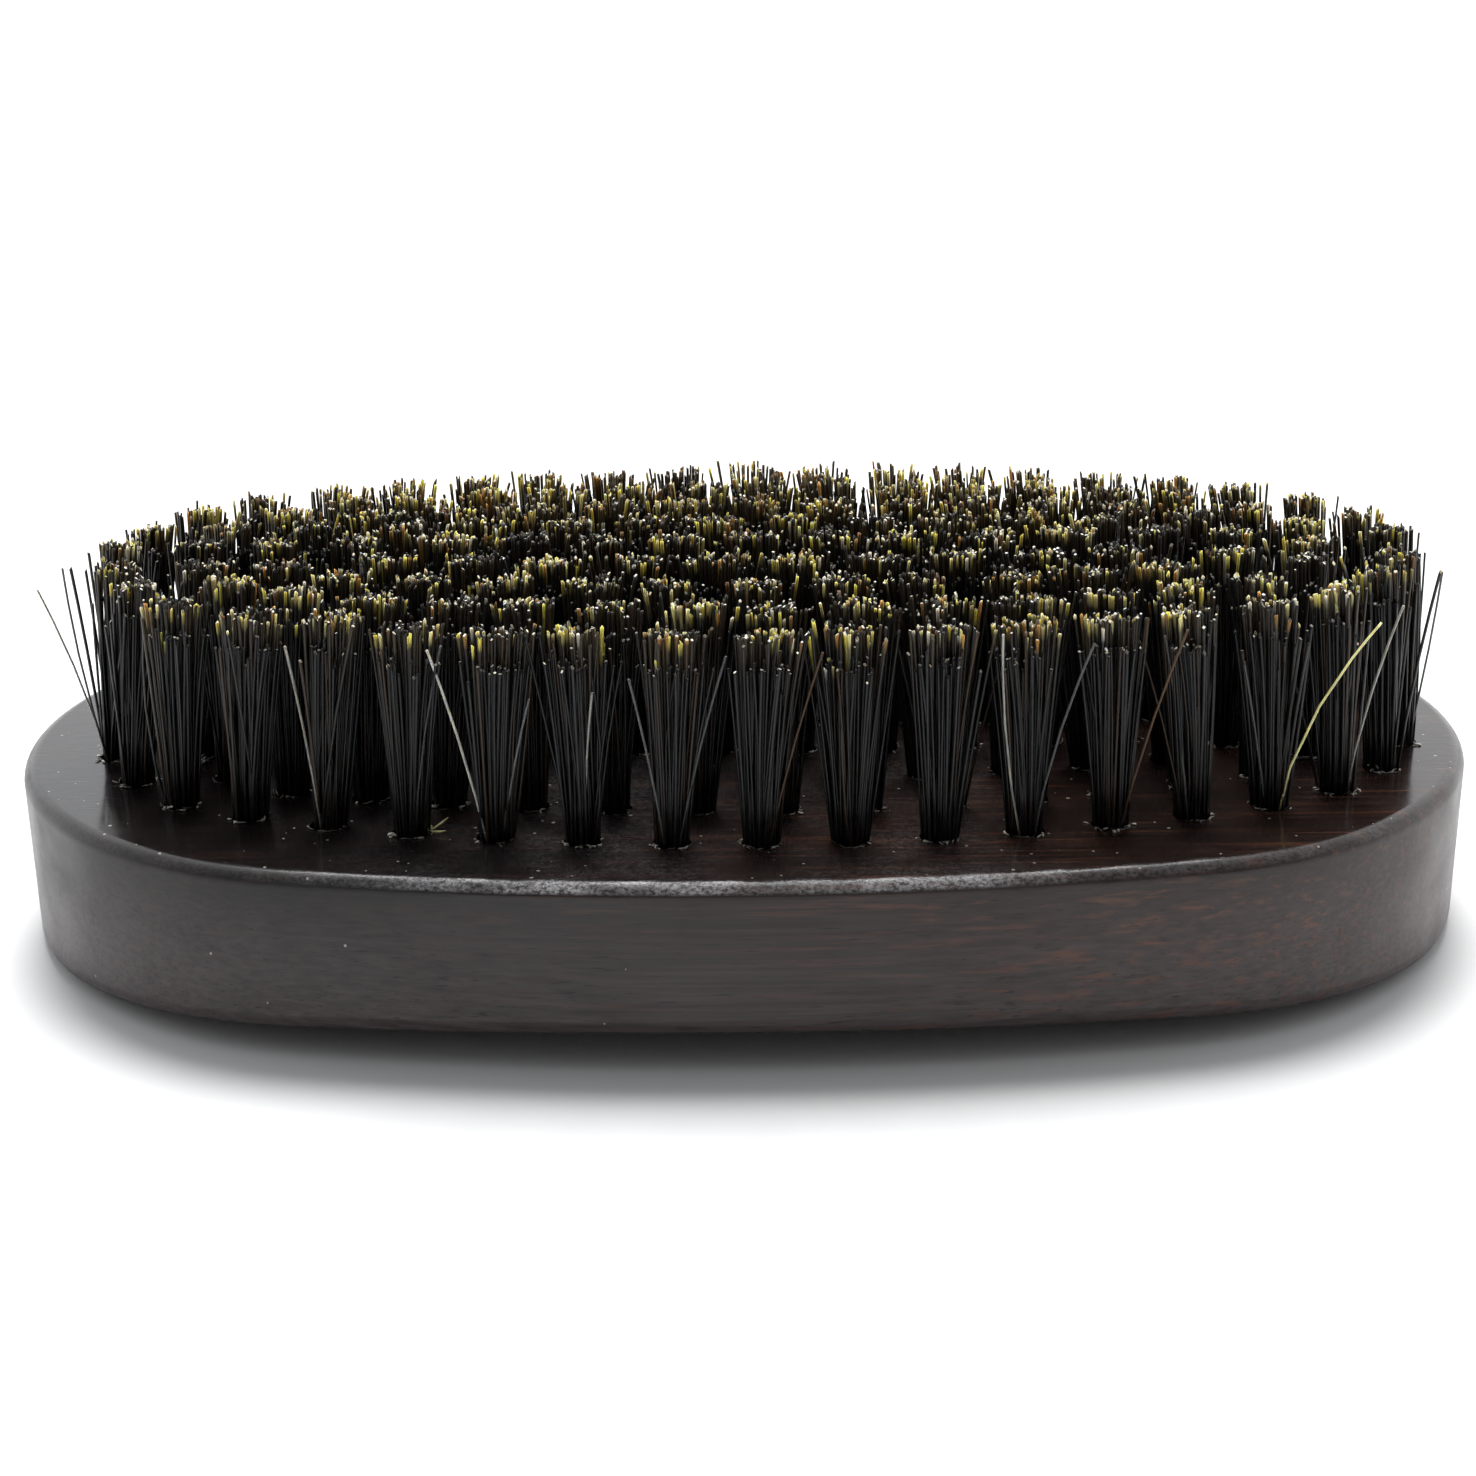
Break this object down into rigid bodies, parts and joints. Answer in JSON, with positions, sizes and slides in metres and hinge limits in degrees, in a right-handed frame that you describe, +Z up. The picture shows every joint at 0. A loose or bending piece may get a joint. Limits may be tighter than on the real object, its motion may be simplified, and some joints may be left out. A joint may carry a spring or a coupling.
{
  "type": "beard brush",
  "caption": "Palm beard brush: an oval dark wooden block with a crowned back, set with concentric rings of doubled natural-bristle tufts held by wire anchors.",
  "frame": {"origin": "middle of the flat land under the wooden block, which is the bottom centre of the whole brush as it lies on its back", "axes": "+X along the block's length, +Z up through the bristles, -Y towards the side that the short legs of the tufts face"},
  "size_m": [0.125, 0.072, 0.0324],
  "materials": {
    "wood": "dark stained wood under satin lacquer",
    "bristle": "black natural boar bristle with golden tips",
    "anchor_wire": "galvanised flat wire"
  },
  "bodies": {
    "root": {"wood_block": "wood", "tufts_ring_1_front_left": "bristle", "tufts_ring_1_front_right": "bristle", "tufts_ring_1_rear_right": "bristle", "tufts_ring_1_rear_left": "bristle", "tufts_ring_2_front_left": "bristle", "tufts_ring_2_front_right": "bristle", "tufts_ring_2_rear_right": "bristle", "tufts_ring_2_rear_left": "bristle", "tufts_ring_3_front_left": "bristle", "tufts_ring_3_front_right": "bristle", "tufts_ring_3_rear_right": "bristle", "tufts_ring_3_rear_left": "bristle", "tufts_ring_4_front_left": "bristle", "tufts_ring_4_front_right": "bristle", "tufts_ring_4_rear_right": "bristle", "tufts_ring_4_rear_left": "bristle", "tufts_centre_row": "bristle", "anchors_ring_1_front_left": "anchor_wire", "anchors_ring_1_front_right": "anchor_wire", "anchors_ring_1_rear_right": "anchor_wire", "anchors_ring_1_rear_left": "anchor_wire", "anchors_ring_2_front_left": "anchor_wire", "anchors_ring_2_front_right": "anchor_wire", "anchors_ring_2_rear_right": "anchor_wire", "anchors_ring_2_rear_left": "anchor_wire", "anchors_ring_3_front_left": "anchor_wire", "anchors_ring_3_front_right": "anchor_wire", "anchors_ring_3_rear_right": "anchor_wire", "anchors_ring_3_rear_left": "anchor_wire", "anchors_ring_4_front_left": "anchor_wire", "anchors_ring_4_front_right": "anchor_wire", "anchors_ring_4_rear_right": "anchor_wire", "anchors_ring_4_rear_left": "anchor_wire", "anchors_centre_row": "anchor_wire"}
  },
  "joints": []
}
